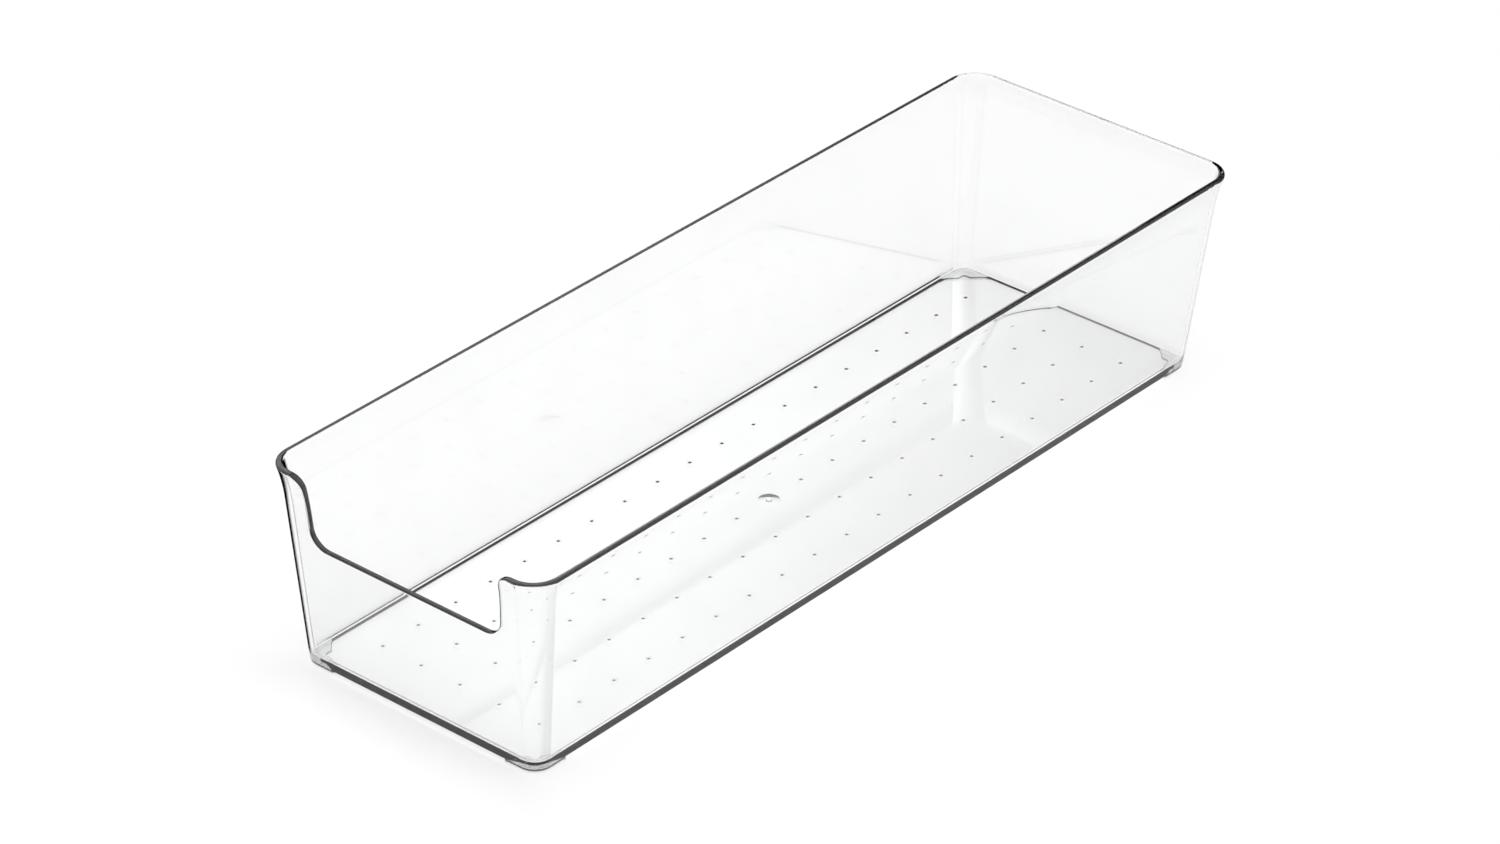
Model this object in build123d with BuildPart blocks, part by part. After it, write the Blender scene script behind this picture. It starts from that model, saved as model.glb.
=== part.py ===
from build123d import *
from math import asin, degrees
import os

# A clear, open-topped storage bin for a refrigerator shelf: one tapered, thin-walled moulding with a
# lowered front, standing on four L-shaped grip feet.
#
# Millimetres. +Z is up, the lowered front faces -Y and the length runs along Y. The origin is on the
# surface that the bin stands on, under the middle of the rim.

os.makedirs("parts", exist_ok=True)

# Overall size
rim_length = 304.8
rim_width = 101.6
overall_height = 64.0

# Base: smaller than the rim, because every wall leans outward, and set forward of the rim's middle,
# because the front wall leans less than the back one
base_length = 288.2
base_width = 88.2
base_shift = -2.65
base_edge_radius = 0.6

# Plan corners of the outside, at the base and at the rim
base_corner = 5.7
rim_corner = 9.7

# Moulding thicknesses
wall = 1.8
floor_thickness = 1.6
floor_fillet = 2.2

# The rim turns outward in a soft flare over the top of the walls. The inner face turns less than
# the outer one, which thickens the rim
flare = 1.25
inner_flare = 0.8
flare_height = 11.0
flare_steps = 4
rim_edge_radius = 0.7

# Lowered front: a flat-bottomed dip with leaning sides
dip_height = 42.3
dip_half_width = 34.5
dip_side_lean = 1.5
dip_bottom_radius = 5.5
dip_top_radius = 4.5

# Raised dots on the floor, in a grid whose middle place is left to the gate mark
dot_columns = 5
dot_rows = 19
dot_pitch_x = 14.6
dot_pitch_y = 14.1
dot_grid_shift = -1.8
dot_diameter = 2.2
dot_height = 0.25

# Gate mark: a shallow dish in the underside with the gate's stub inside it
gate_dish_diameter = 7.4
gate_dish_depth = 0.5
gate_stub_diameter = 1.8
gate_stub_length = 0.35

# Feet
foot_height = 1.0
foot_inset = 0.2
foot_leg_width = 5.0
foot_reach = 12.6
foot_outer_corner = base_corner - foot_inset
foot_inner_corner = 1.0
foot_end_radius = 0.5
foot_edge_radius = 0.35

# Derived heights
underside = foot_height
floor_top = underside + floor_thickness
flare_start = overall_height - flare_height
body_height = overall_height - underside

# A cap of a sphere: its radius from its width and its height
dot_sphere_radius = (dot_diameter**2 / 4 + dot_height**2) / (2 * dot_height)
dot_cap_angle = degrees(asin(1 - dot_height / dot_sphere_radius))
gate_sphere_radius = (gate_dish_diameter**2 / 4 + gate_dish_depth**2) / (2 * gate_dish_depth)


def leaning_section(height):
    """Width, length, corner radius and shift of the outside at a height, before the flare."""
    rise = (height - underside) / body_height
    width = base_width + (rim_width - 2 * flare - base_width) * rise
    length = base_length + (rim_length - 2 * flare - base_length) * rise
    corner = base_corner + (rim_corner - flare - base_corner) * rise
    return width, length, corner, base_shift * (1 - rise)


def wall_section(height, spread, inward):
    """One level of the walls, spread outward by the flare and inward by the wall."""
    width, length, corner, shift = leaning_section(height)
    growth = spread - inward
    with BuildSketch(Plane.XY.offset(height)) as section:
        with Locations((0, shift)):
            RectangleRounded(width + 2 * growth, length + 2 * growth, corner + growth)
    return section.sketch


def flared_sections(spread, inward):
    """The levels of the rim's flare, from its foot to its full spread at the top of the walls."""
    shares = [step / flare_steps for step in range(flare_steps + 1)]
    return [
        wall_section(flare_start + flare_height * share, spread * share**2, inward)
        for share in shares
    ]


def is_rim_face(face):
    """Whether a face lies across the top of the walls or along the dip."""
    flat_or_round = face.geom_type in (GeomType.PLANE, GeomType.CYLINDER)
    return flat_or_round and face.center().Z > dip_height - 0.1


def dot_places():
    """The floor dots' places, on the floor's upper face, without the middle one."""
    return [
        (column * dot_pitch_x, dot_grid_shift + row * dot_pitch_y, floor_top)
        for column in range(-(dot_columns // 2), dot_columns // 2 + 1)
        for row in range(-(dot_rows // 2), dot_rows // 2 + 1)
        if (column, row) != (0, 0)
    ]


# The space inside the walls
with BuildPart() as cavity:
    loft([wall_section(floor_top, 0, wall), wall_section(flare_start, 0, wall)], ruled=True)
    loft(flared_sections(inner_flare, wall))
    fillet(cavity.edges().group_by(Axis.Z)[0], floor_fillet)

# The opening that lowers the front wall. Its top corners are rounded into the rim.
with BuildPart() as dip:
    with BuildSketch(Plane.XZ.offset(rim_length / 2 + wall)) as dip_profile:
        top_half_width = dip_half_width + dip_side_lean
        beyond = rim_width / 2
        with BuildLine():
            Polyline(
                (0, dip_height),
                (dip_half_width, dip_height),
                (top_half_width, overall_height),
                (beyond, overall_height),
                (beyond, overall_height + wall),
                (0, overall_height + wall),
            )
            mirror(about=Plane.YZ)
        make_face()
        corners = dip_profile.vertices()
        bottom_corners = corners.group_by(Axis.Y)[0].filter_by(lambda v: abs(v.X) > wall)
        fillet(bottom_corners, dip_bottom_radius)
        shoulders = dip_profile.vertices().filter_by(
            lambda v: abs(v.Y - overall_height) < 0.01 and abs(v.X) < beyond - 1
        )
        fillet(shoulders, dip_top_radius)
    extrude(amount=-rim_length / 4)

# Shell: one moulding, with the floor's dots and the gate mark
with BuildPart() as bin_shell:
    loft([wall_section(underside, 0, 0), wall_section(flare_start, 0, 0)], ruled=True)
    loft(flared_sections(flare, 0))
    fillet(bin_shell.edges().group_by(Axis.Z)[0], base_edge_radius)
    add(cavity.part, mode=Mode.SUBTRACT)
    add(dip.part, mode=Mode.SUBTRACT)

    # The rim and the dip's edge are one path of flat and round faces across the wall's thickness:
    # their long edges are rounded, not the short ones across the wall
    rim_faces = bin_shell.faces().filter_by(is_rim_face)
    rim_edges = rim_faces.edges().filter_by(lambda edge: edge.length > 1.2 * wall)
    fillet(rim_edges, rim_edge_radius)

    with Locations(dot_places()):
        Sphere(
            dot_sphere_radius,
            arc_size1=dot_cap_angle,
            align=(Align.CENTER, Align.CENTER, Align.MIN),
        )

    with Locations((0, dot_grid_shift, underside + gate_dish_depth)):
        Sphere(
            gate_sphere_radius,
            align=(Align.CENTER, Align.CENTER, Align.MAX),
            mode=Mode.SUBTRACT,
        )
        Cylinder(
            gate_stub_diameter / 2,
            gate_stub_length,
            align=(Align.CENTER, Align.CENTER, Align.MAX),
        )
bin_shell.part.label = "bin_shell"
export_step(bin_shell.part, "parts/bin_shell.step")


def save_foot(name, side, end):
    """Make the grip foot under one corner: side is -1 on the left, end is -1 at the front."""
    corner_x = side * (base_width / 2 - foot_inset)
    corner_y = base_shift + end * (base_length / 2 - foot_inset)
    ring_width = base_width - 2 * foot_inset
    ring_length = base_length - 2 * foot_inset
    with BuildPart() as foot:
        with BuildSketch():
            with Locations((0, base_shift)):
                RectangleRounded(ring_width, ring_length, foot_outer_corner)
                RectangleRounded(
                    ring_width - 2 * foot_leg_width,
                    ring_length - 2 * foot_leg_width,
                    foot_inner_corner,
                    mode=Mode.SUBTRACT,
                )
            with BuildLine():
                Polyline(
                    (corner_x, corner_y),
                    (corner_x - side * foot_reach, corner_y),
                    (corner_x, corner_y - end * foot_reach),
                    close=True,
                )
            make_face(mode=Mode.INTERSECT)
        extrude(amount=foot_height)
        fillet(foot.edges().filter_by(Axis.Z), foot_end_radius)
        fillet(foot.edges().group_by(Axis.Z)[0], foot_edge_radius)
    foot.part.label = name
    export_step(foot.part, f"parts/{name}.step")


for side_name, side in (("left", -1), ("right", 1)):
    for end_name, end in (("front", -1), ("rear", 1)):
        save_foot(f"{end_name}_{side_name}_foot", side, end)
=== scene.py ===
"""A clear refrigerator bin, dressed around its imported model.

The bin is one clear moulding on four soft grip feet. The moulding's mesh is built here from the
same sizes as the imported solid, with finer rounds, and stands for it; so do the feet. Everything is
in metres, +Z up, with the lowered front facing -Y.
"""

import logging
import math
from dataclasses import dataclass, field
from enum import Enum

import bmesh
import bpy
import numpy as np
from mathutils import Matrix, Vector
from mathutils.geometry import delaunay_2d_cdt

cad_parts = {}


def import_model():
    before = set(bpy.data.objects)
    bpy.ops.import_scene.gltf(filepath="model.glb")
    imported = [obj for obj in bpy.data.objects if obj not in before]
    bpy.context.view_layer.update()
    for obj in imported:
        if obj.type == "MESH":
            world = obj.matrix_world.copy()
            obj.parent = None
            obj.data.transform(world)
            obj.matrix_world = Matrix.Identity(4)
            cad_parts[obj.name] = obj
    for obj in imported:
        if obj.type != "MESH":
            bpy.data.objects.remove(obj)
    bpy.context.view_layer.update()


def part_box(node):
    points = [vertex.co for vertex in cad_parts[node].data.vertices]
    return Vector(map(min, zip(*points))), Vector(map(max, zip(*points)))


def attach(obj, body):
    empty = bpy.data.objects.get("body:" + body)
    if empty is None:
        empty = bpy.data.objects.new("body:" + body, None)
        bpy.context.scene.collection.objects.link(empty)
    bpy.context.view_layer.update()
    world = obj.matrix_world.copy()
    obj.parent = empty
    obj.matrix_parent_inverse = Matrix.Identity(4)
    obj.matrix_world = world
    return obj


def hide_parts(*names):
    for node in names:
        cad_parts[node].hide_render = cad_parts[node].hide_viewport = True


MM = 0.001
BODY = "root"
LOG = logging.getLogger("fridge_bin")

# The flat fill: it keeps what lies inside its rings, and joins points nearer than this, in mm.
INSIDE_ONLY = 1
FLAT_MARGIN = 1e-5

# A length that stands for none at all, where a division needs one.
NO_LENGTH = 1e-30

# The colour sockets of a Mix node, which share their names with others.
MIX_FIRST, MIX_SECOND, MIX_RESULT = 6, 7, 2

# The drawn-out waviness of the plastic, how much of the handling shows, how upright a pad's side
# is where the painted shade line lies, and the heights between which that painted shade sets in.
FLOW_STRETCH = (1.0, 0.45, 1.0)
SCUFF_FADE = (0.5, 0.8)
UPRIGHT = (0.98, 0.85)
PAD_SHADE_HEIGHTS = (0.55 * MM, 0.7 * MM)

Ring = list[bmesh.types.BMVert]
Socket = bpy.types.NodeSocket
Tree = bpy.types.NodeTree


class Slot(Enum):
    """The record's material slots."""

    CLEAR_PLASTIC = "clear_plastic"
    CLEAR_GRIP = "clear_grip"


class Corner(Enum):
    """The bin's corners, as the side (-1 left) and the end (-1 front) that each lies at."""

    FRONT_LEFT = (-1, -1)
    FRONT_RIGHT = (1, -1)
    REAR_LEFT = (-1, 1)
    REAR_RIGHT = (1, 1)

    @property
    def node(self) -> str:
        """The CAD node of the foot under this corner."""
        return f"{self.name.lower()}_foot"


# ---------------------------------------------------------------------------------------------
# Outlines


def rounded_outline(
    corners: list[Vector], radii: list[float], steps: int, closed: bool = True
) -> list[Vector]:
    """A run of straight lines, in plan or in space, whose corners are rounded by arcs.

    Args:
        corners: The corners in order.
        radii: One radius for each corner, 0 for one that stays sharp.
        steps: How many chords each arc gets.
        closed: Whether the last corner joins the first.

    Returns:
        The points of the run, arcs included.
    """
    points: list[Vector] = []
    count = len(corners)
    for index, (corner, radius) in enumerate(zip(corners, radii, strict=True)):
        if radius == 0 or (not closed and index in (0, count - 1)):
            points.append(corner)
            continue
        before = (corners[index - 1] - corner).normalized()
        after = (corners[(index + 1) % count] - corner).normalized()
        half = before.angle(after) / 2
        centre = corner + (before + after).normalized() * radius / math.sin(half)
        start = corner + before * radius / math.tan(half) - centre
        finish = corner + after * radius / math.tan(half) - centre
        sweep = math.pi - 2 * half
        for step in range(steps + 1):
            share = step / steps
            blend = start * math.sin((1 - share) * sweep) + finish * math.sin(share * sweep)
            points.append(centre + blend / math.sin(sweep))
    return points


def divided(points: list[Vector], longest: float) -> list[Vector]:
    """Divide an open run's chords.

    Args:
        points: The run.
        longest: The longest chord to leave.

    Returns:
        The same run with points added.
    """
    run = [points[0]]
    for here, there in zip(points, points[1:]):
        pieces = max(1, math.ceil((there - here).length / longest))
        run += [here.lerp(there, piece / pieces) for piece in range(1, pieces + 1)]
    return run


# ---------------------------------------------------------------------------------------------
# Mesh help


def smooth_by_area(mesh: bpy.types.Mesh, power: float = 2.0) -> None:
    """Shade a mesh smooth, with each vertex normal led by the largest faces around it.

    Flat walls then shade flat up to their rounded edges.

    Args:
        mesh: The mesh to shade.
        power: How strongly a large face outweighs a small one.
    """
    mesh.update()
    normals = np.zeros((len(mesh.vertices), 3))
    for face in mesh.polygons:
        pull = np.array(face.normal) * face.area**power
        for vertex in face.vertices:
            normals[vertex] += pull
    lengths = np.linalg.norm(normals, axis=1, keepdims=True)
    normals /= np.maximum(lengths, NO_LENGTH)
    mesh.polygons.foreach_set("use_smooth", [True] * len(mesh.polygons))
    mesh.normals_split_custom_set_from_vertices(normals.tolist())


def bridge(work: bmesh.types.BMesh, lower: Ring, upper: Ring) -> None:
    """Join two closed rings of vertices of one length by quads.

    Args:
        work: The mesh being built.
        lower: The ring that the quads rise from. Seen from above, it runs anticlockwise where
            they are to face outward.
        upper: The ring that they rise to.
    """
    count = len(lower)
    for index in range(count):
        following = (index + 1) % count
        work.faces.new((lower[index], lower[following], upper[following], upper[index]))


def add_ring(work: bmesh.types.BMesh, points: list[Vector]) -> Ring:
    """Add a ring of vertices and return them."""
    return [work.verts.new(point) for point in points]


def fill_flat(
    work: bmesh.types.BMesh, outer: Ring, holes: list[Ring], facing_up: bool
) -> None:
    """Fill a flat region between an outer ring and the holes in it with triangles.

    Args:
        work: The mesh being built.
        outer: The ring of vertices round the region.
        holes: Rounded rings of vertices round the places left open.
        facing_up: Whether its faces look up.
    """
    rings = [outer, *holes]
    vertices = [vertex for ring in rings for vertex in ring]
    owners = [number for number, ring in enumerate(rings) for _ in ring]
    edges, start = [], 0
    for ring in rings:
        count = len(ring)
        edges += [(start + step, start + (step + 1) % count) for step in range(count)]
        start += count
    flat = [Vector(vertex.co[:2]) / MM for vertex in vertices]
    _, _, faces, origins, _, _ = delaunay_2d_cdt(flat, edges, [], INSIDE_ONLY, FLAT_MARGIN)
    for face in faces:
        known = [origins[index][0] for index in face]
        owner = {owners[index] for index in known}
        if len(owner) == 1 and owner != {0}:
            continue
        corners = [vertices[index] for index in known]
        turn = (corners[1].co - corners[0].co).cross(corners[2].co - corners[0].co).z
        if (turn > 0) != facing_up:
            corners.reverse()
        work.faces.new(corners)


def finished_piece(work: bmesh.types.BMesh, name: str) -> bpy.types.Object:
    """Turn a worked mesh into a smooth-shaded object in the scene and free the work.

    Args:
        work: The mesh being built.
        name: The piece's name.

    Returns:
        The piece.
    """
    work.normal_update()
    mesh = bpy.data.meshes.new(name)
    work.to_mesh(mesh)
    work.free()
    smooth_by_area(mesh)
    piece = bpy.data.objects.new(name, mesh)
    bpy.context.scene.collection.objects.link(piece)
    return piece


# ---------------------------------------------------------------------------------------------
# The moulding


@dataclass(frozen=True)
class Station:
    """A place round the bin's rounded plan.

    across and along run from -1 to 1 over the plan's inner rectangle, whose corners are the
    centres of the plan's corner arcs, and facing is the direction that the wall looks in.
    """

    across: float
    along: float
    facing: float


@dataclass(frozen=True)
class Column:
    """One upright line of the wall mesh: its place round the base and, on the front wall,
    where it ends: the point on the rim's path and the one just inside it, both as (x, z)."""

    foot: Station
    head: Vector | None = None
    shoulder: Vector | None = None


@dataclass(frozen=True)
class WallForm:
    """The shape of the leaning, flared walls, as a rule for any height and depth in the wall."""

    rim_half_width: float
    rim_half_length: float
    rim_height: float
    underside: float
    base_half_width: float = 44.1 * MM
    base_half_length: float = 144.1 * MM
    base_shift: float = -2.65 * MM
    base_corner: float = 5.7 * MM
    rim_corner: float = 9.7 * MM
    wall: float = 1.8 * MM
    floor_thickness: float = 1.6 * MM
    flare: float = 1.25 * MM
    inner_flare: float = 0.8 * MM
    flare_height: float = 11.0 * MM

    @property
    def floor_top(self) -> float:
        """The height of the floor's upper face."""
        return self.underside + self.floor_thickness

    @property
    def flare_start(self) -> float:
        """The height where the rim starts to turn outward."""
        return self.rim_height - self.flare_height

    def section(self, height: float, inset: float) -> tuple[float, float, float, float]:
        """The plan at a height and a depth in the wall.

        Args:
            height: The height above the surface that the bin stands on.
            inset: The depth inside the outer face.

        Returns:
            Half the inner rectangle's width and length, the corner arcs' radius and the
            plan's shift along the length.
        """
        rise = (height - self.underside) / (self.rim_height - self.underside)
        turn = max(0.0, (height - self.flare_start) / self.flare_height)
        thickened = (self.flare - self.inner_flare) * inset / self.wall
        spread = (self.flare - thickened) * turn**2
        half_width = self.base_half_width + rise * (
            self.rim_half_width - self.flare - self.base_half_width
        )
        half_length = self.base_half_length + rise * (
            self.rim_half_length - self.flare - self.base_half_length
        )
        corner = self.base_corner + rise * (self.rim_corner - self.flare - self.base_corner)
        radius = corner + spread - inset
        shift = self.base_shift * (1 - rise)
        return half_width - corner, half_length - corner, radius, shift

    def at(self, station: Station, height: float, inset: float) -> Vector:
        """A point of the walls.

        Args:
            station: Its place round the plan.
            height: The height above the surface that the bin stands on.
            inset: The depth inside the outer face.

        Returns:
            The point.
        """
        half_width, half_length, radius, shift = self.section(height, inset)
        return Vector(
            (
                station.across * half_width + radius * math.cos(station.facing),
                station.along * half_length + radius * math.sin(station.facing) + shift,
                height,
            )
        )

    def on_front(self, x: float, height: float, inset: float) -> Vector:
        """A point of the front wall, or of the corners beside it.

        Args:
            x: Its x.
            height: The height above the surface that the bin stands on.
            inset: The depth inside the outer face.

        Returns:
            The point.
        """
        half_width, half_length, radius, shift = self.section(height, inset)
        past = max(0.0, abs(x) - half_width)
        reach = math.sqrt(max(radius**2 - past**2, 0.0))
        return Vector((x, shift - half_length - reach, height))

    def front_station(self, x: float) -> Station:
        """Find a station on the base's front side.

        Args:
            x: Where the outer face is at the station.

        Returns:
            The station.
        """
        half_width, _, radius, _ = self.section(self.underside, 0)
        past = max(0.0, abs(x) - half_width)
        lean = math.copysign(math.asin(past / radius), x)
        across = max(-1.0, min(1.0, x / half_width))
        return Station(across, -1.0, -math.pi / 2 + lean)


@dataclass(frozen=True)
class Dip:
    """The lowered part of the front wall."""

    height: float = 42.3 * MM
    half_width: float = 34.5 * MM
    side_lean: float = 1.5 * MM
    bottom_radius: float = 5.5 * MM
    top_radius: float = 4.5 * MM
    beyond: float = 41.5 * MM
    arc_steps: int = 10
    chord: float = 3.0 * MM

    def path(self, rim_height: float) -> list[Vector]:
        """The rim's path over the front.

        Args:
            rim_height: The height of the rim beside the dip.

        Returns:
            The path from left to right, as (x, z) points.
        """
        top = self.half_width + self.side_lean
        corners = [
            (-self.beyond, rim_height),
            (-top, rim_height),
            (-self.half_width, self.height),
            (self.half_width, self.height),
            (top, rim_height),
            (self.beyond, rim_height),
        ]
        radii = [0, self.top_radius, self.bottom_radius, self.bottom_radius, self.top_radius, 0]
        run = [Vector(corner) for corner in corners]
        return divided(rounded_outline(run, radii, self.arc_steps, closed=False), self.chord)


@dataclass(frozen=True)
class FloorDots:
    """The raised dots on the floor: a grid whose middle place is left to the gate mark."""

    columns: int = 5
    rows: int = 19
    pitch_x: float = 14.6 * MM
    pitch_y: float = 14.1 * MM
    shift: float = -1.8 * MM
    radius: float = 1.15 * MM
    height: float = 0.25 * MM
    rings: int = 5
    sides: int = 20

    def places(self) -> list[Vector]:
        """Place the dots.

        Returns:
            Their centres in plan.
        """
        half_columns, half_rows = self.columns // 2, self.rows // 2
        return [
            Vector((column * self.pitch_x, self.shift + row * self.pitch_y))
            for column in range(-half_columns, half_columns + 1)
            for row in range(-half_rows, half_rows + 1)
            if (column, row) != (0, 0)
        ]

    def mould(self, work: bmesh.types.BMesh, place: Vector, floor: float) -> Ring:
        """Raise one dot from the floor.

        Args:
            work: The mesh being built.
            place: The dot's centre in plan.
            floor: The floor's height.

        Returns:
            The ring of vertices where the dot meets the floor.
        """
        rings = []
        for step in range(self.rings, 0, -1):
            share = step / self.rings
            height = floor + self.height * (1 + math.cos(math.pi * share)) / 2
            rings.append(circle(work, place, self.radius * share, height, self.sides))
        for outer, inner in zip(rings, rings[1:]):
            bridge(work, outer, inner)
        top = work.verts.new((place.x, place.y, floor + self.height))
        for here, there in zip(rings[-1], rings[-1][1:] + rings[-1][:1]):
            work.faces.new((here, there, top))
        return rings[0]


@dataclass(frozen=True)
class GateMark:
    """Where the plastic entered the mould: a shallow dish in the underside, with a stub.

    The stub's end is dressed off: tip_share is how much of its radius stays flat.
    """

    shift: float = -1.8 * MM
    dish_radius: float = 3.7 * MM
    dish_depth: float = 0.5 * MM
    stub_radius: float = 0.9 * MM
    stub_length: float = 0.35 * MM
    tip_share: float = 0.5
    tip_length: float = 0.05 * MM
    sides: int = 48
    rings: int = 6

    def mould(self, work: bmesh.types.BMesh, underside: float) -> Ring:
        """Sink the mark into the underside.

        Args:
            work: The mesh being built.
            underside: The underside's height.

        Returns:
            The ring of vertices where the dish meets the underside.
        """
        centre = Vector((0, self.shift))
        rings = []
        for step in range(self.rings + 1):
            radius = self.dish_radius + (self.stub_radius - self.dish_radius) * step / self.rings
            sunk = self.dish_depth * (1 - (radius / self.dish_radius) ** 2)
            rings.append(circle(work, centre, radius, underside + sunk, self.sides))
        end = rings[-1][0].co.z - self.stub_length
        rings.append(circle(work, centre, self.stub_radius, end, self.sides))
        tip_radius = self.stub_radius * self.tip_share
        rings.append(circle(work, centre, tip_radius, end - self.tip_length, self.sides))
        for outer, inner in zip(rings, rings[1:]):
            bridge(work, inner, outer)
        work.faces.new(list(reversed(rings[-1])))
        return rings[0]


def circle(
    work: bmesh.types.BMesh, centre: Vector, radius: float, height: float, sides: int
) -> Ring:
    """Add a level circle of vertices.

    Args:
        work: The mesh being built.
        centre: The circle's centre in plan.
        radius: Its radius.
        height: Its height.
        sides: How many vertices it gets.

    Returns:
        The vertices, anticlockwise seen from above.
    """
    turns = [math.tau * side / sides for side in range(sides)]
    return add_ring(
        work,
        [
            Vector((centre.x + radius * math.cos(t), centre.y + radius * math.sin(t), height))
            for t in turns
        ],
    )


@dataclass
class BinShell:
    """The clear moulding: floor, walls, flared rim, lowered front, dots and gate mark.

    The front wall's columns lean. front_spread is how wide their feet stand under the dip's flat
    bottom, as a share of it, and climb_share how far the rest share out by height, not by width.
    """

    form: WallForm
    dip: Dip = field(default_factory=Dip)
    dots: FloorDots = field(default_factory=FloorDots)
    gate: GateMark = field(default_factory=GateMark)
    node: str = "bin_shell"
    corner_steps: int = 14
    side_steps: int = 20
    back_steps: int = 6
    low_shares: tuple[float, ...] = (0.09, 0.3, 0.5, 0.7)
    flare_steps: int = 14
    rim_margin: float = 1.5 * MM
    rim_loss: float = 0.24 * MM
    rim_round: float = 0.7 * MM
    base_round: float = 0.6 * MM
    floor_round: float = 2.2 * MM
    floor_margin: float = 2.4 * MM
    base_margin: float = 1.6 * MM
    round_steps: int = 8
    front_spread: float = 0.95
    climb_share: float = 0.5

    @classmethod
    def from_frame(cls) -> "BinShell":
        """Size the moulding from its CAD node's box.

        Returns:
            The moulding.
        """
        low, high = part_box(cls.node)
        form = WallForm(
            rim_half_width=(high.x - low.x) / 2 + cls.rim_loss,
            rim_half_length=(high.y - low.y) / 2 + cls.rim_loss,
            rim_height=high.z,
            underside=low.z,
        )
        return cls(form)

    def front_columns(self) -> list[Column]:
        """The columns of the front wall, which lean so that they end along the dip.

        Returns:
            The columns from left to right.
        """
        form, dip = self.form, self.dip
        path = dip.path(form.rim_height)
        rim_width, _, rim_radius, _ = form.section(form.rim_height, 0)
        base_width, _, base_radius, _ = form.section(form.underside, 0)
        limit = base_width + (dip.beyond - rim_width) * base_radius / rim_radius
        bottom = dip.half_width - dip.bottom_radius
        start = self.front_spread * bottom
        columns = []
        for index, head in enumerate(path):
            before, after = path[max(index - 1, 0)], path[min(index + 1, len(path) - 1)]
            along = (after - before).normalized()
            shoulder = head + Vector((along.y, -along.x)) * self.rim_margin
            reach = self.front_spread * abs(head.x)
            if abs(head.x) > bottom:
                climb = max(0.0, head.y - dip.height) / (form.rim_height - dip.height)
                past = (abs(head.x) - bottom) / (dip.beyond - bottom)
                fold = self.climb_share * climb + (1 - self.climb_share) * past
                reach = start + (limit - start) * fold
            foot = form.front_station(math.copysign(reach, head.x))
            columns.append(Column(foot, head, shoulder))
        return columns

    def corner_columns(self, across: int, along: int, start: float, end: float) -> list[Column]:
        """The columns round one corner.

        Args:
            across: The corner's side, -1 left or 1 right.
            along: The corner's end, -1 front or 1 back.
            start: The facing just before the first column.
            end: The facing of the last column.

        Returns:
            The columns in order.
        """
        turns = np.linspace(start, end, self.corner_steps + 1)[1:]
        return [Column(Station(across, along, float(turn))) for turn in turns]

    def columns(self) -> list[Column]:
        """Every column round the bin.

        Returns:
            The columns, anticlockwise seen from above, from the front's left.
        """
        found = self.front_columns()
        first, last = found[0].foot.facing, found[-1].foot.facing
        quarter = math.pi / 2
        sideways = np.linspace(-1, 1, self.side_steps + 1)[1:]
        backward = np.linspace(1, -1, self.back_steps + 1)[1:]
        found += self.corner_columns(1, -1, last, 0)
        found += [Column(Station(1, float(place), 0)) for place in sideways]
        found += self.corner_columns(1, 1, 0, quarter)
        found += [Column(Station(float(place), 1, quarter)) for place in backward]
        found += self.corner_columns(-1, 1, quarter, 2 * quarter)
        found += [Column(Station(-1, -float(place), 2 * quarter)) for place in sideways]
        found += self.corner_columns(-1, -1, 2 * quarter, 4 * quarter + first)
        found.pop()
        return found

    def wall_point(self, column: Column, share: float, low: float, inset: float) -> Vector:
        """A point on a column.

        Args:
            column: The column.
            share: How far up it, from 0 at low to 1 just under the rim.
            low: The height where it starts.
            inset: The depth inside the outer face.

        Returns:
            The point.
        """
        if column.shoulder is None:
            top = self.form.rim_height - self.rim_margin
            return self.form.at(column.foot, low + (top - low) * share, inset)
        start = self.form.at(column.foot, low, inset)
        x = start.x + (column.shoulder.x - start.x) * share
        height = low + (column.shoulder.y - low) * share
        if share == 0:
            return start
        return self.form.on_front(x, height, inset)

    def rim_point(self, column: Column, inset: float) -> Vector:
        """The end of a column, on the rim.

        Args:
            column: The column.
            inset: The depth inside the outer face.

        Returns:
            The point.
        """
        if column.head is None:
            return self.form.at(column.foot, self.form.rim_height, inset)
        return self.form.on_front(column.head.x, column.head.y, inset)

    def profile(self, column: Column) -> list[Vector]:
        """The moulding's cross-section at a column.

        Args:
            column: The column.

        Returns:
            The section's points, from under the base, up the outer face, over the rim and
            down the inner face to the floor, with its edges rounded.
        """
        form = self.form
        flare_share = 1 - (form.flare_height - self.rim_margin) / (
            form.rim_height - self.rim_margin - form.underside
        )
        top = np.linspace(flare_share, 1, self.flare_steps + 1)
        shares = [*self.low_shares, *(float(share) for share in top)]
        outer = [self.wall_point(column, share, form.underside, 0) for share in shares]
        inner = [self.wall_point(column, share, form.floor_top, form.wall) for share in shares]
        plain = [0.0] * len(shares)
        corners = [
            form.at(column.foot, form.underside, self.base_margin),
            form.at(column.foot, form.underside, 0),
            *outer,
            self.rim_point(column, 0),
            self.rim_point(column, form.wall),
            *reversed(inner),
            form.at(column.foot, form.floor_top, form.wall),
            form.at(column.foot, form.floor_top, form.wall + self.floor_margin),
        ]
        rim = [self.rim_round, self.rim_round]
        radii = [0.0, self.base_round, *plain, *rim, *plain, self.floor_round, 0.0]
        return rounded_outline(corners, radii, self.round_steps, closed=False)

    def build(self) -> bpy.types.Object:
        """Make the moulding as one closed mesh.

        Returns:
            The piece.
        """
        form = self.form
        work = bmesh.new()
        levels = zip(*(self.profile(column) for column in self.columns()), strict=True)
        rings = [add_ring(work, list(level)) for level in levels]
        for lower, upper in zip(rings, rings[1:]):
            bridge(work, lower, upper)
        base_ring, floor_ring = rings[0], rings[-1]

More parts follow.
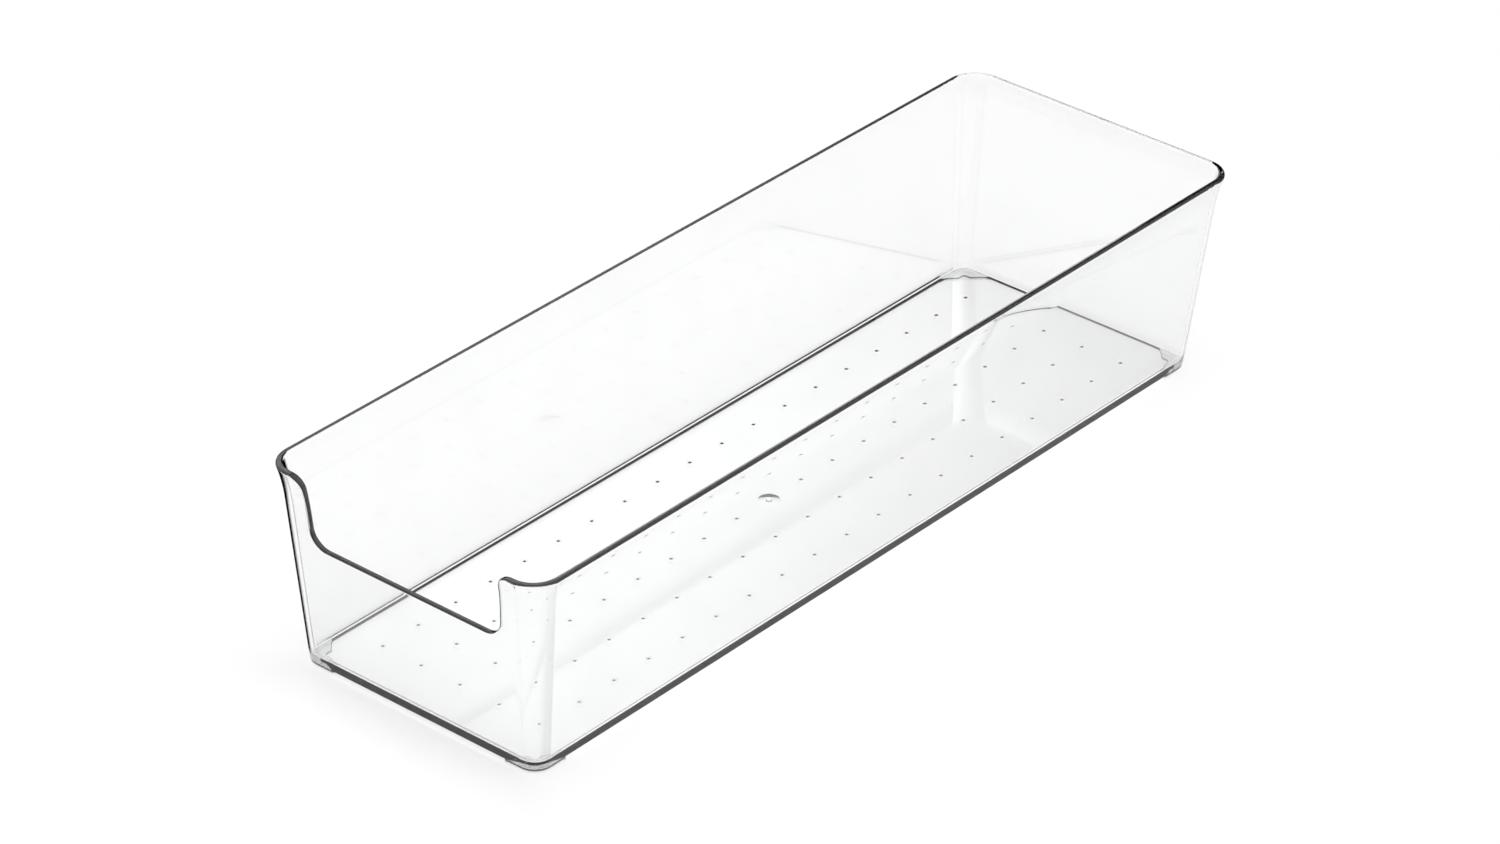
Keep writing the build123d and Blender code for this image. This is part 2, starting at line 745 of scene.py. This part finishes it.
        dots = [self.dots.mould(work, place, form.floor_top) for place in self.dots.places()]
        fill_flat(work, floor_ring, dots, facing_up=True)
        gate = self.gate.mould(work, form.underside)
        fill_flat(work, base_ring, [gate], facing_up=False)
        return finished_piece(work, "clear_moulding")


@dataclass
class GripFoot:
    """A soft L-shaped foot under one corner of the base, with its legs' ends cut at 45 degrees.

    sunk is how deep it sits in the moulding's underside, so that light passes between the two.
    tip_loss is how much of each leg's sharp tip its rounding takes.
    """

    corner: Corner
    leg_width: float = 5.0 * MM
    outer_radius: float = 5.5 * MM
    inner_radius: float = 1.0 * MM
    end_radius: float = 0.5 * MM
    edge_round: float = 0.35 * MM
    sunk: float = 0.02 * MM
    tip_loss: float = 0.707 * MM
    arc_steps: int = 8
    edge_steps: int = 4

    def outline(self, reach: float, inset: float) -> list[Vector]:
        """The foot's outline, with its outer corner at the origin.

        Args:
            reach: How far each leg's sharp tip lies from the corner.
            inset: How far inside the full outline to go.

        Returns:
            The outline's points, anticlockwise.
        """
        far, near = inset, self.leg_width - inset
        tip = reach - inset * math.sqrt(2)
        corners = [
            (far, far),
            (tip - far, far),
            (tip - near, near),
            (near, near),
            (near, tip - near),
            (far, tip - far),
        ]
        end = self.end_radius - inset
        radii = [self.outer_radius - inset, end, end, self.inner_radius + inset, end, end]
        return rounded_outline([Vector(corner) for corner in corners], radii, self.arc_steps)

    def build(self) -> bpy.types.Object:
        """Make the foot as a closed mesh in its place.

        Returns:
            The piece.
        """
        side, end = self.corner.value
        low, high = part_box(self.corner.node)
        corner = Vector((high.x if side > 0 else low.x, high.y if end > 0 else low.y))
        reach = high.x - low.x + self.tip_loss
        work = bmesh.new()
        turns = np.linspace(0, math.pi / 2, self.edge_steps + 1)
        bottom = [(low.z, -1, float(turn)) for turn in turns]
        top = [(high.z + self.sunk, 1, float(turn)) for turn in reversed(turns)]
        rings = []
        for level, way, turn in bottom + top:
            inset = self.edge_round * (1 - math.sin(turn))
            height = level - way * self.edge_round * (1 - math.cos(turn))
            plan = [
                Vector((corner.x - side * p.x, corner.y - end * p.y, height))
                for p in self.outline(reach, inset)
            ]
            if side * end < 0:
                plan.reverse()
            rings.append(add_ring(work, plan))
        for lower, upper in zip(rings, rings[1:]):
            bridge(work, lower, upper)
        work.faces.new(rings[-1])
        work.faces.new(list(reversed(rings[0])))
        return finished_piece(work, f"grip_{self.corner.name.lower()}")


# ---------------------------------------------------------------------------------------------
# Finishes


class Sum(Enum):
    """What a Math node works out."""

    PRODUCT = "MULTIPLY"
    LARGER = "MAXIMUM"
    BEARING = "ARCTAN2"


def worked_out(tree: Tree, what: Sum, first: Socket, second: Socket) -> Socket:
    """Work something out from two values.

    Args:
        tree: The nodes to add to.
        what: What to work out.
        first: The first value.
        second: The second value.

    Returns:
        The result.
    """
    node = tree.nodes.new("ShaderNodeMath")
    node.operation = what.value
    tree.links.new(first, node.inputs[0])
    tree.links.new(second, node.inputs[1])
    return node.outputs[0]


def ranged(
    tree: Tree,
    value: Socket,
    given: tuple[float, float] = (0.0, 1.0),
    wanted: tuple[float, float] = (0.0, 1.0),
    smooth: bool = False,
) -> Socket:
    """Map a value from one range to another, and keep it there.

    Args:
        tree: The nodes to add to.
        value: The value.
        given: The range that it comes in.
        wanted: The range that it leaves in.
        smooth: Whether it eases in and out at the ends.

    Returns:
        The mapped value.
    """
    node = tree.nodes.new("ShaderNodeMapRange")
    if smooth:
        node.interpolation_type = "SMOOTHSTEP"
    ends = ("From Min", "From Max", "To Min", "To Max")
    for end, number in zip(ends, (*given, *wanted), strict=True):
        node.inputs[end].default_value = number
    tree.links.new(value, node.inputs["Value"])
    return node.outputs["Result"]


def apart(tree: Tree, vector: Socket) -> dict[str, Socket]:
    """Take a vector apart.

    Args:
        tree: The nodes to add to.
        vector: The vector.

    Returns:
        Its parts by name: X, Y and Z.
    """
    node = tree.nodes.new("ShaderNodeSeparateXYZ")
    tree.links.new(vector, node.inputs[0])
    return {name: node.outputs[name] for name in "XYZ"}


def new_group(name: str, scale: float, result: str) -> tuple[Tree, dict[str, Socket], Socket]:
    """Start a node group that reads a Vector and a Scale and puts out one number.

    Args:
        name: The group's name.
        scale: The Scale input's first value.
        result: The output's name.

    Returns:
        The group, the inputs by name and the socket that its result goes to.
    """
    group = bpy.data.node_groups.new(name, "ShaderNodeTree")
    group.interface.new_socket("Vector", in_out="INPUT", socket_type="NodeSocketVector")
    socket = group.interface.new_socket("Scale", in_out="INPUT", socket_type="NodeSocketFloat")
    socket.default_value = scale
    group.interface.new_socket(result, in_out="OUTPUT", socket_type="NodeSocketFloat")
    entry = group.nodes.new("NodeGroupInput")
    leave = group.nodes.new("NodeGroupOutput")
    given = {socket_name: entry.outputs[socket_name] for socket_name in ("Vector", "Scale")}
    return group, given, leave.inputs[result]


def mould_flow_group() -> Tree:
    """The slow waviness that a moulded wall sets with, as a height.

    Returns:
        The group, built once.
    """
    name = "mould_flow"
    if name in bpy.data.node_groups:
        return bpy.data.node_groups[name]
    group, given, height = new_group(name, 20.0, "Height")
    stretch = group.nodes.new("ShaderNodeVectorMath")
    stretch.operation = "MULTIPLY"
    stretch.inputs[1].default_value = FLOW_STRETCH
    group.links.new(given["Vector"], stretch.inputs[0])
    noise = group.nodes.new("ShaderNodeTexNoise")
    noise.inputs["Detail"].default_value = 1.5
    noise.inputs["Roughness"].default_value = 0.4
    group.links.new(stretch.outputs[0], noise.inputs["Vector"])
    group.links.new(given["Scale"], noise.inputs["Scale"])
    group.links.new(noise.outputs["Fac"], height)
    return group


def scuff_group() -> Tree:
    """Faint, patchy handling marks, as a mask.

    Returns:
        The group, built once.
    """
    name = "handling_scuffs"
    if name in bpy.data.node_groups:
        return bpy.data.node_groups[name]
    group, given, mask = new_group(name, 60.0, "Mask")
    patches = group.nodes.new("ShaderNodeTexNoise")
    patches.inputs["Detail"].default_value = 4.0
    group.links.new(given["Vector"], patches.inputs["Vector"])
    group.links.new(given["Scale"], patches.inputs["Scale"])
    group.links.new(ranged(group, patches.outputs["Fac"], SCUFF_FADE), mask)
    return group


def pad_shade_line_group() -> Tree:
    """A painted shade line on a pad's upright sides where they meet the part above, standing in for
    their dark outlines, as a mask.

    Returns:
        The group, built once.
    """
    name = "edge_soil"
    if name in bpy.data.node_groups:
        return bpy.data.node_groups[name]
    group, given, mask = new_group(name, 1.0, "Mask")
    surface = group.nodes.new("ShaderNodeNewGeometry")
    flatness = group.nodes.new("ShaderNodeMath")
    flatness.operation = "ABSOLUTE"
    group.links.new(apart(group, surface.outputs["Normal"])["Z"], flatness.inputs[0])
    upright = ranged(group, flatness.outputs[0], UPRIGHT)
    place = apart(group, given["Vector"])
    height = worked_out(group, Sum.PRODUCT, place["Z"], given["Scale"])
    high = ranged(group, height, PAD_SHADE_HEIGHTS)
    group.links.new(worked_out(group, Sum.PRODUCT, upright, high), mask)
    return group


@dataclass(frozen=True)
class ClearFinish:
    """A clear plastic: what bends light, what marks its surface, how painted shade darkens its edges
    where they are seen aslant, and how it lets lamps through.

    aslant holds the facings between which the painted edge shade sets in. handled says how far back
    the front end with the stronger painted shade reaches, edge_shade_share how much of that painted
    shade the rest and that end get, and edge_shade_heights the heights between which it sets in.
    edge_soil says whether a painted shade line sits along the upper edges.
    """

    name: str
    tint: tuple[float, float, float]
    marked_tint: tuple[float, float, float]
    ior: float
    polish: float
    marked_roughness: float
    flow_scale: float
    flow_depth: float
    scuff_scale: float
    shadow_tint: tuple[float, float, float]
    aslant: tuple[float, float] = (0.54, 0.74)
    # The colour of the painted edge shade.
    edge_shade_tint: tuple[float, float, float] = (0.05, 0.05, 0.05)
    edge_shade_front: tuple[float, float] = (-0.139, -0.145)
    edge_shade_share: tuple[float, float] = (0.12, 1.0)
    edge_shade_heights: tuple[float, float] = (3.0 * MM, 5.0 * MM)
    # Whether to paint a shade line along the pads' upper sides, and its colour.
    edge_soil: bool = False
    pad_shade_tint: tuple[float, float, float] = (0.02, 0.02, 0.02)

    def build(self) -> bpy.types.Material:
        """Make the material.

        Returns:
            The material.
        """
        material = bpy.data.materials.new(self.name)
        material.use_nodes = True
        tree = material.node_tree
        tree.nodes.clear()
        coordinates = tree.nodes.new("ShaderNodeTexCoord").outputs["Object"]
        shader = tree.nodes.new("ShaderNodeBsdfPrincipled")
        shader.inputs["Transmission Weight"].default_value = 1.0
        shader.inputs["IOR"].default_value = self.ior
        self.wave(tree, coordinates, shader)
        self.mark(tree, coordinates, shader)
        # Painted shade: dark edge lines where the surface is seen aslant.
        with_painted_edges = self.paint_edge_shade(tree, coordinates, shader)

        is_lamp = tree.nodes.new("ShaderNodeLightPath").outputs["Is Shadow Ray"]
        output = tree.nodes.new("ShaderNodeOutputMaterial")
        surface = self.veiled(tree, is_lamp, with_painted_edges, self.shadow_tint)
        tree.links.new(surface, output.inputs["Surface"])
        return material

    def veiled(
        self, tree: Tree, share: Socket, shader: Socket, tint: tuple[float, float, float]
    ) -> Socket:
        """Trade a share of a shader for a plain tinted veil.

        Args:
            tree: The material's nodes.
            share: The share.
            shader: The shader's output.
            tint: The veil's colour.

        Returns:
            The output of the two together.
        """
        veil = tree.nodes.new("ShaderNodeBsdfTransparent")
        veil.inputs["Color"].default_value = (*tint, 1)
        mix = tree.nodes.new("ShaderNodeMixShader")
        tree.links.new(share, mix.inputs[0])
        tree.links.new(shader, mix.inputs[1])
        tree.links.new(veil.outputs[0], mix.inputs[2])
        return mix.outputs[0]

    def wave(self, tree: Tree, coordinates: Socket, shader: bpy.types.Node) -> None:
        """Give the shader the waviness that the plastic set with.

        Args:
            tree: The material's nodes.
            coordinates: The output with the surface's own coordinates.
            shader: The shader.
        """
        flow = tree.nodes.new("ShaderNodeGroup")
        flow.node_tree = mould_flow_group()
        flow.inputs["Scale"].default_value = self.flow_scale
        bump = tree.nodes.new("ShaderNodeBump")
        bump.inputs["Strength"].default_value = 1.0
        bump.inputs["Distance"].default_value = self.flow_depth
        tree.links.new(coordinates, flow.inputs["Vector"])
        tree.links.new(flow.outputs["Height"], bump.inputs["Height"])
        tree.links.new(bump.outputs["Normal"], shader.inputs["Normal"])

    def mark(self, tree: Tree, coordinates: Socket, shader: bpy.types.Node) -> None:
        """Give the shader its handling marks, and any painted shade line along its upper edges.

        Args:
            tree: The material's nodes.
            coordinates: The output with the surface's own coordinates.
            shader: The shader.
        """
        scuffs = tree.nodes.new("ShaderNodeGroup")
        scuffs.node_tree = scuff_group()
        scuffs.inputs["Scale"].default_value = self.scuff_scale
        tree.links.new(coordinates, scuffs.inputs["Vector"])
        scuffed = scuffs.outputs["Mask"]
        rough = ranged(tree, scuffed, wanted=(self.polish, self.marked_roughness))
        tree.links.new(rough, shader.inputs["Roughness"])
        tint = tree.nodes.new("ShaderNodeMix")
        tint.data_type = "RGBA"
        tint.inputs[MIX_FIRST].default_value = (*self.tint, 1)
        tint.inputs[MIX_SECOND].default_value = (*self.marked_tint, 1)
        tree.links.new(scuffed, tint.inputs[0])
        colour = tint.outputs[MIX_RESULT]
        # Painted shade: a near-black line along the pads' upright upper sides, for their dark
        # outlines.
        if self.edge_soil:
            pad_shade_node = tree.nodes.new("ShaderNodeGroup")
            pad_shade_node.node_tree = pad_shade_line_group()
            tree.links.new(coordinates, pad_shade_node.inputs["Vector"])
            pad_shaded = tree.nodes.new("ShaderNodeMix")
            pad_shaded.data_type = "RGBA"
            pad_shaded.inputs[MIX_SECOND].default_value = (*self.pad_shade_tint, 1)
            tree.links.new(pad_shade_node.outputs["Mask"], pad_shaded.inputs[0])
            tree.links.new(colour, pad_shaded.inputs[MIX_FIRST])
            colour = pad_shaded.outputs[MIX_RESULT]
        tree.links.new(colour, shader.inputs["Base Color"])

    def paint_edge_shade(self, tree: Tree, coordinates: Socket, shader: bpy.types.Node) -> Socket:
        """Paint shade on the surface where it is seen aslant, as dark edge lines, most at the front
        end.

        Args:
            tree: The material's nodes.
            coordinates: The output with the surface's own coordinates.
            shader: The shader.

        Returns:
            The output of the shader with its painted dark edges.
        """
        # Painted shade: a near-black veil where the surface is seen aslant, strongest at the front
        # end and kept off the lowest few millimetres.
        weight = tree.nodes.new("ShaderNodeLayerWeight")
        weight.inputs["Blend"].default_value = 0.5
        place = apart(tree, coordinates)
        edge = ranged(tree, weight.outputs["Facing"], self.aslant, smooth=True)
        edge_shade_front = ranged(tree, place["Y"], self.edge_shade_front, self.edge_shade_share)
        upper = ranged(tree, place["Z"], self.edge_shade_heights)
        share = worked_out(tree, Sum.PRODUCT, edge, edge_shade_front)
        painted_shade_share = worked_out(tree, Sum.PRODUCT, share, upper)
        return self.veiled(tree, painted_shade_share, shader.outputs[0], self.edge_shade_tint)


RIGID_CLEAR = ClearFinish(
    name="clear_rigid_plastic",
    tint=(0.945, 0.948, 0.948),
    marked_tint=(0.925, 0.928, 0.928),
    ior=1.57,
    polish=0.0,
    marked_roughness=0.035,
    flow_scale=14.0,
    flow_depth=0.06 * MM,
    scuff_scale=45.0,
    shadow_tint=(0.98, 0.98, 0.98),
)
SOFT_CLEAR = ClearFinish(
    name="clear_soft_grip",
    tint=(0.93, 0.935, 0.935),
    marked_tint=(0.88, 0.885, 0.885),
    ior=1.57,
    polish=0.08,
    marked_roughness=0.25,
    flow_scale=160.0,
    flow_depth=0.05 * MM,
    scuff_scale=400.0,
    shadow_tint=(0.9, 0.9, 0.9),
    # No painted edge shade on the pads, but a painted shade line along their upper sides.
    edge_shade_share=(0.0, 0.0),
    edge_soil=True,
)


# ---------------------------------------------------------------------------------------------
# Studio


@dataclass
class Studio:
    """A plain pale floor under soft light, and the camera.

    The light comes evenly from above. It dims to low_glow below low_band, as rises of the view,
    and to back_glow on the back wall, between the bearings back_start and back_edge and up to
    back_top.
    """

    floor_size: float = 9.0
    floor_rise: float = 0.03 * MM
    floor_colour: tuple[float, float, float] = (0.93, 0.93, 0.93)
    world_strength: float = 1.22
    low_band: tuple[float, float] = (0.0, 0.35)
    low_glow: float = 0.3
    back_start: tuple[float, float] = (60.0, 80.0)
    back_edge: tuple[float, float] = (126.0, 133.0)
    back_top: tuple[float, float] = (0.6, 0.75)
    back_glow: float = 0.0
    sensor: float = 36.0
    lens: float = 138.3552
    azimuth: float = 40.91
    elevation: float = 31.147
    distance: float = 1431.37 * MM
    aim: tuple[float, float, float] = (115.36 * MM, -141.97 * MM, 137.37 * MM)

    def build(self) -> None:
        """Make the floor, the light and the camera."""
        self.build_floor()
        self.build_light()
        self.build_camera()

    def build_floor(self) -> None:
        """Lay the floor against the feet's soles, with no gap of air between the two."""
        work = bmesh.new()
        half = self.floor_size / 2
        corners = [(-half, -half), (half, -half), (half, half), (-half, half)]
        work.faces.new([work.verts.new((x, y, self.floor_rise)) for x, y in corners])
        mesh = bpy.data.meshes.new("studio_floor")
        work.to_mesh(mesh)
        work.free()
        floor = bpy.data.objects.new("studio_floor", mesh)
        bpy.context.scene.collection.objects.link(floor)
        material = bpy.data.materials.new("pale_floor")
        material.use_nodes = True
        shader = material.node_tree.nodes["Principled BSDF"]
        shader.inputs["Base Color"].default_value = (*self.floor_colour, 1)
        shader.inputs["Roughness"].default_value = 0.9
        shader.inputs["Specular IOR Level"].default_value = 0.0
        mesh.materials.append(material)

    def build_light(self) -> None:
        """Light the room evenly from above, with a dim band low down and a dim back wall."""
        scene = bpy.context.scene
        scene.view_settings.view_transform = "Standard"
        scene.world = bpy.data.worlds.new("studio_world")
        scene.world.use_nodes = True
        tree = scene.world.node_tree
        background = tree.nodes["Background"]
        background.inputs["Strength"].default_value = self.world_strength
        place = apart(tree, tree.nodes.new("ShaderNodeTexCoord").outputs["Generated"])
        low_glow = (self.low_glow, 1.0)
        level = ranged(tree, place["Z"], self.low_band, low_glow, smooth=True)
        clear = self.clear_of_back_wall(tree, place)
        glow = ranged(tree, clear, wanted=(self.back_glow, 1.0))
        both = worked_out(tree, Sum.PRODUCT, level, glow)
        tree.links.new(both, background.inputs["Color"])

    def clear_of_back_wall(self, tree: Tree, place: dict[str, Socket]) -> Socket:
        """Find how far a direction is clear of the back wall.

        Args:
            tree: The world's nodes.
            place: The direction's parts by name.

        Returns:
            A mask, 0 on the wall and 1 clear of it.
        """
        bearing = worked_out(tree, Sum.BEARING, place["Y"], place["X"])
        start = tuple(math.radians(turn) for turn in reversed(self.back_start))
        edge = tuple(math.radians(turn) for turn in self.back_edge)
        past = ranged(tree, bearing, edge, smooth=True)
        before = ranged(tree, bearing, start, smooth=True)
        over = ranged(tree, place["Z"], self.back_top, smooth=True)
        beside = worked_out(tree, Sum.LARGER, past, before)
        return worked_out(tree, Sum.LARGER, beside, over)

    def build_camera(self) -> None:
        """Set the camera at its distance from the aim, and look along that line."""
        azimuth, elevation = math.radians(self.azimuth), math.radians(self.elevation)
        back = Vector(
            (
                math.sin(azimuth) * math.cos(elevation),
                -math.cos(azimuth) * math.cos(elevation),
                math.sin(elevation),
            )
        )
        data = bpy.data.cameras.new("camera")
        data.sensor_fit = "HORIZONTAL"
        data.sensor_width = self.sensor
        data.lens = self.lens
        camera = bpy.data.objects.new("camera", data)
        camera.location = Vector(self.aim) + back * self.distance
        camera.rotation_euler = back.to_track_quat("Z", "Y").to_euler()
        bpy.context.scene.collection.objects.link(camera)
        bpy.context.scene.camera = camera


# ---------------------------------------------------------------------------------------------
# Assembly


def dress(piece: bpy.types.Object, node: str, material: bpy.types.Material) -> None:
    """Give a piece its finish and its body, and hide the CAD node that it stands for.

    Args:
        piece: The piece.
        node: The CAD node.
        material: The finish.
    """
    piece.data.materials.append(material)
    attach(piece, BODY)
    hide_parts(node)
    LOG.info("%s stands for %s, %d faces", piece.name, node, len(piece.data.polygons))


def main() -> None:
    """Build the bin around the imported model."""
    logging.basicConfig(level=logging.INFO, format="%(name)s: %(message)s")
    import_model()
    Studio().build()
    shell = BinShell.from_frame()
    dress(shell.build(), shell.node, RIGID_CLEAR.build())
    grip = SOFT_CLEAR.build()
    for corner in Corner:
        dress(GripFoot(corner).build(), corner.node, grip)


if __name__ == "__main__":
    main()
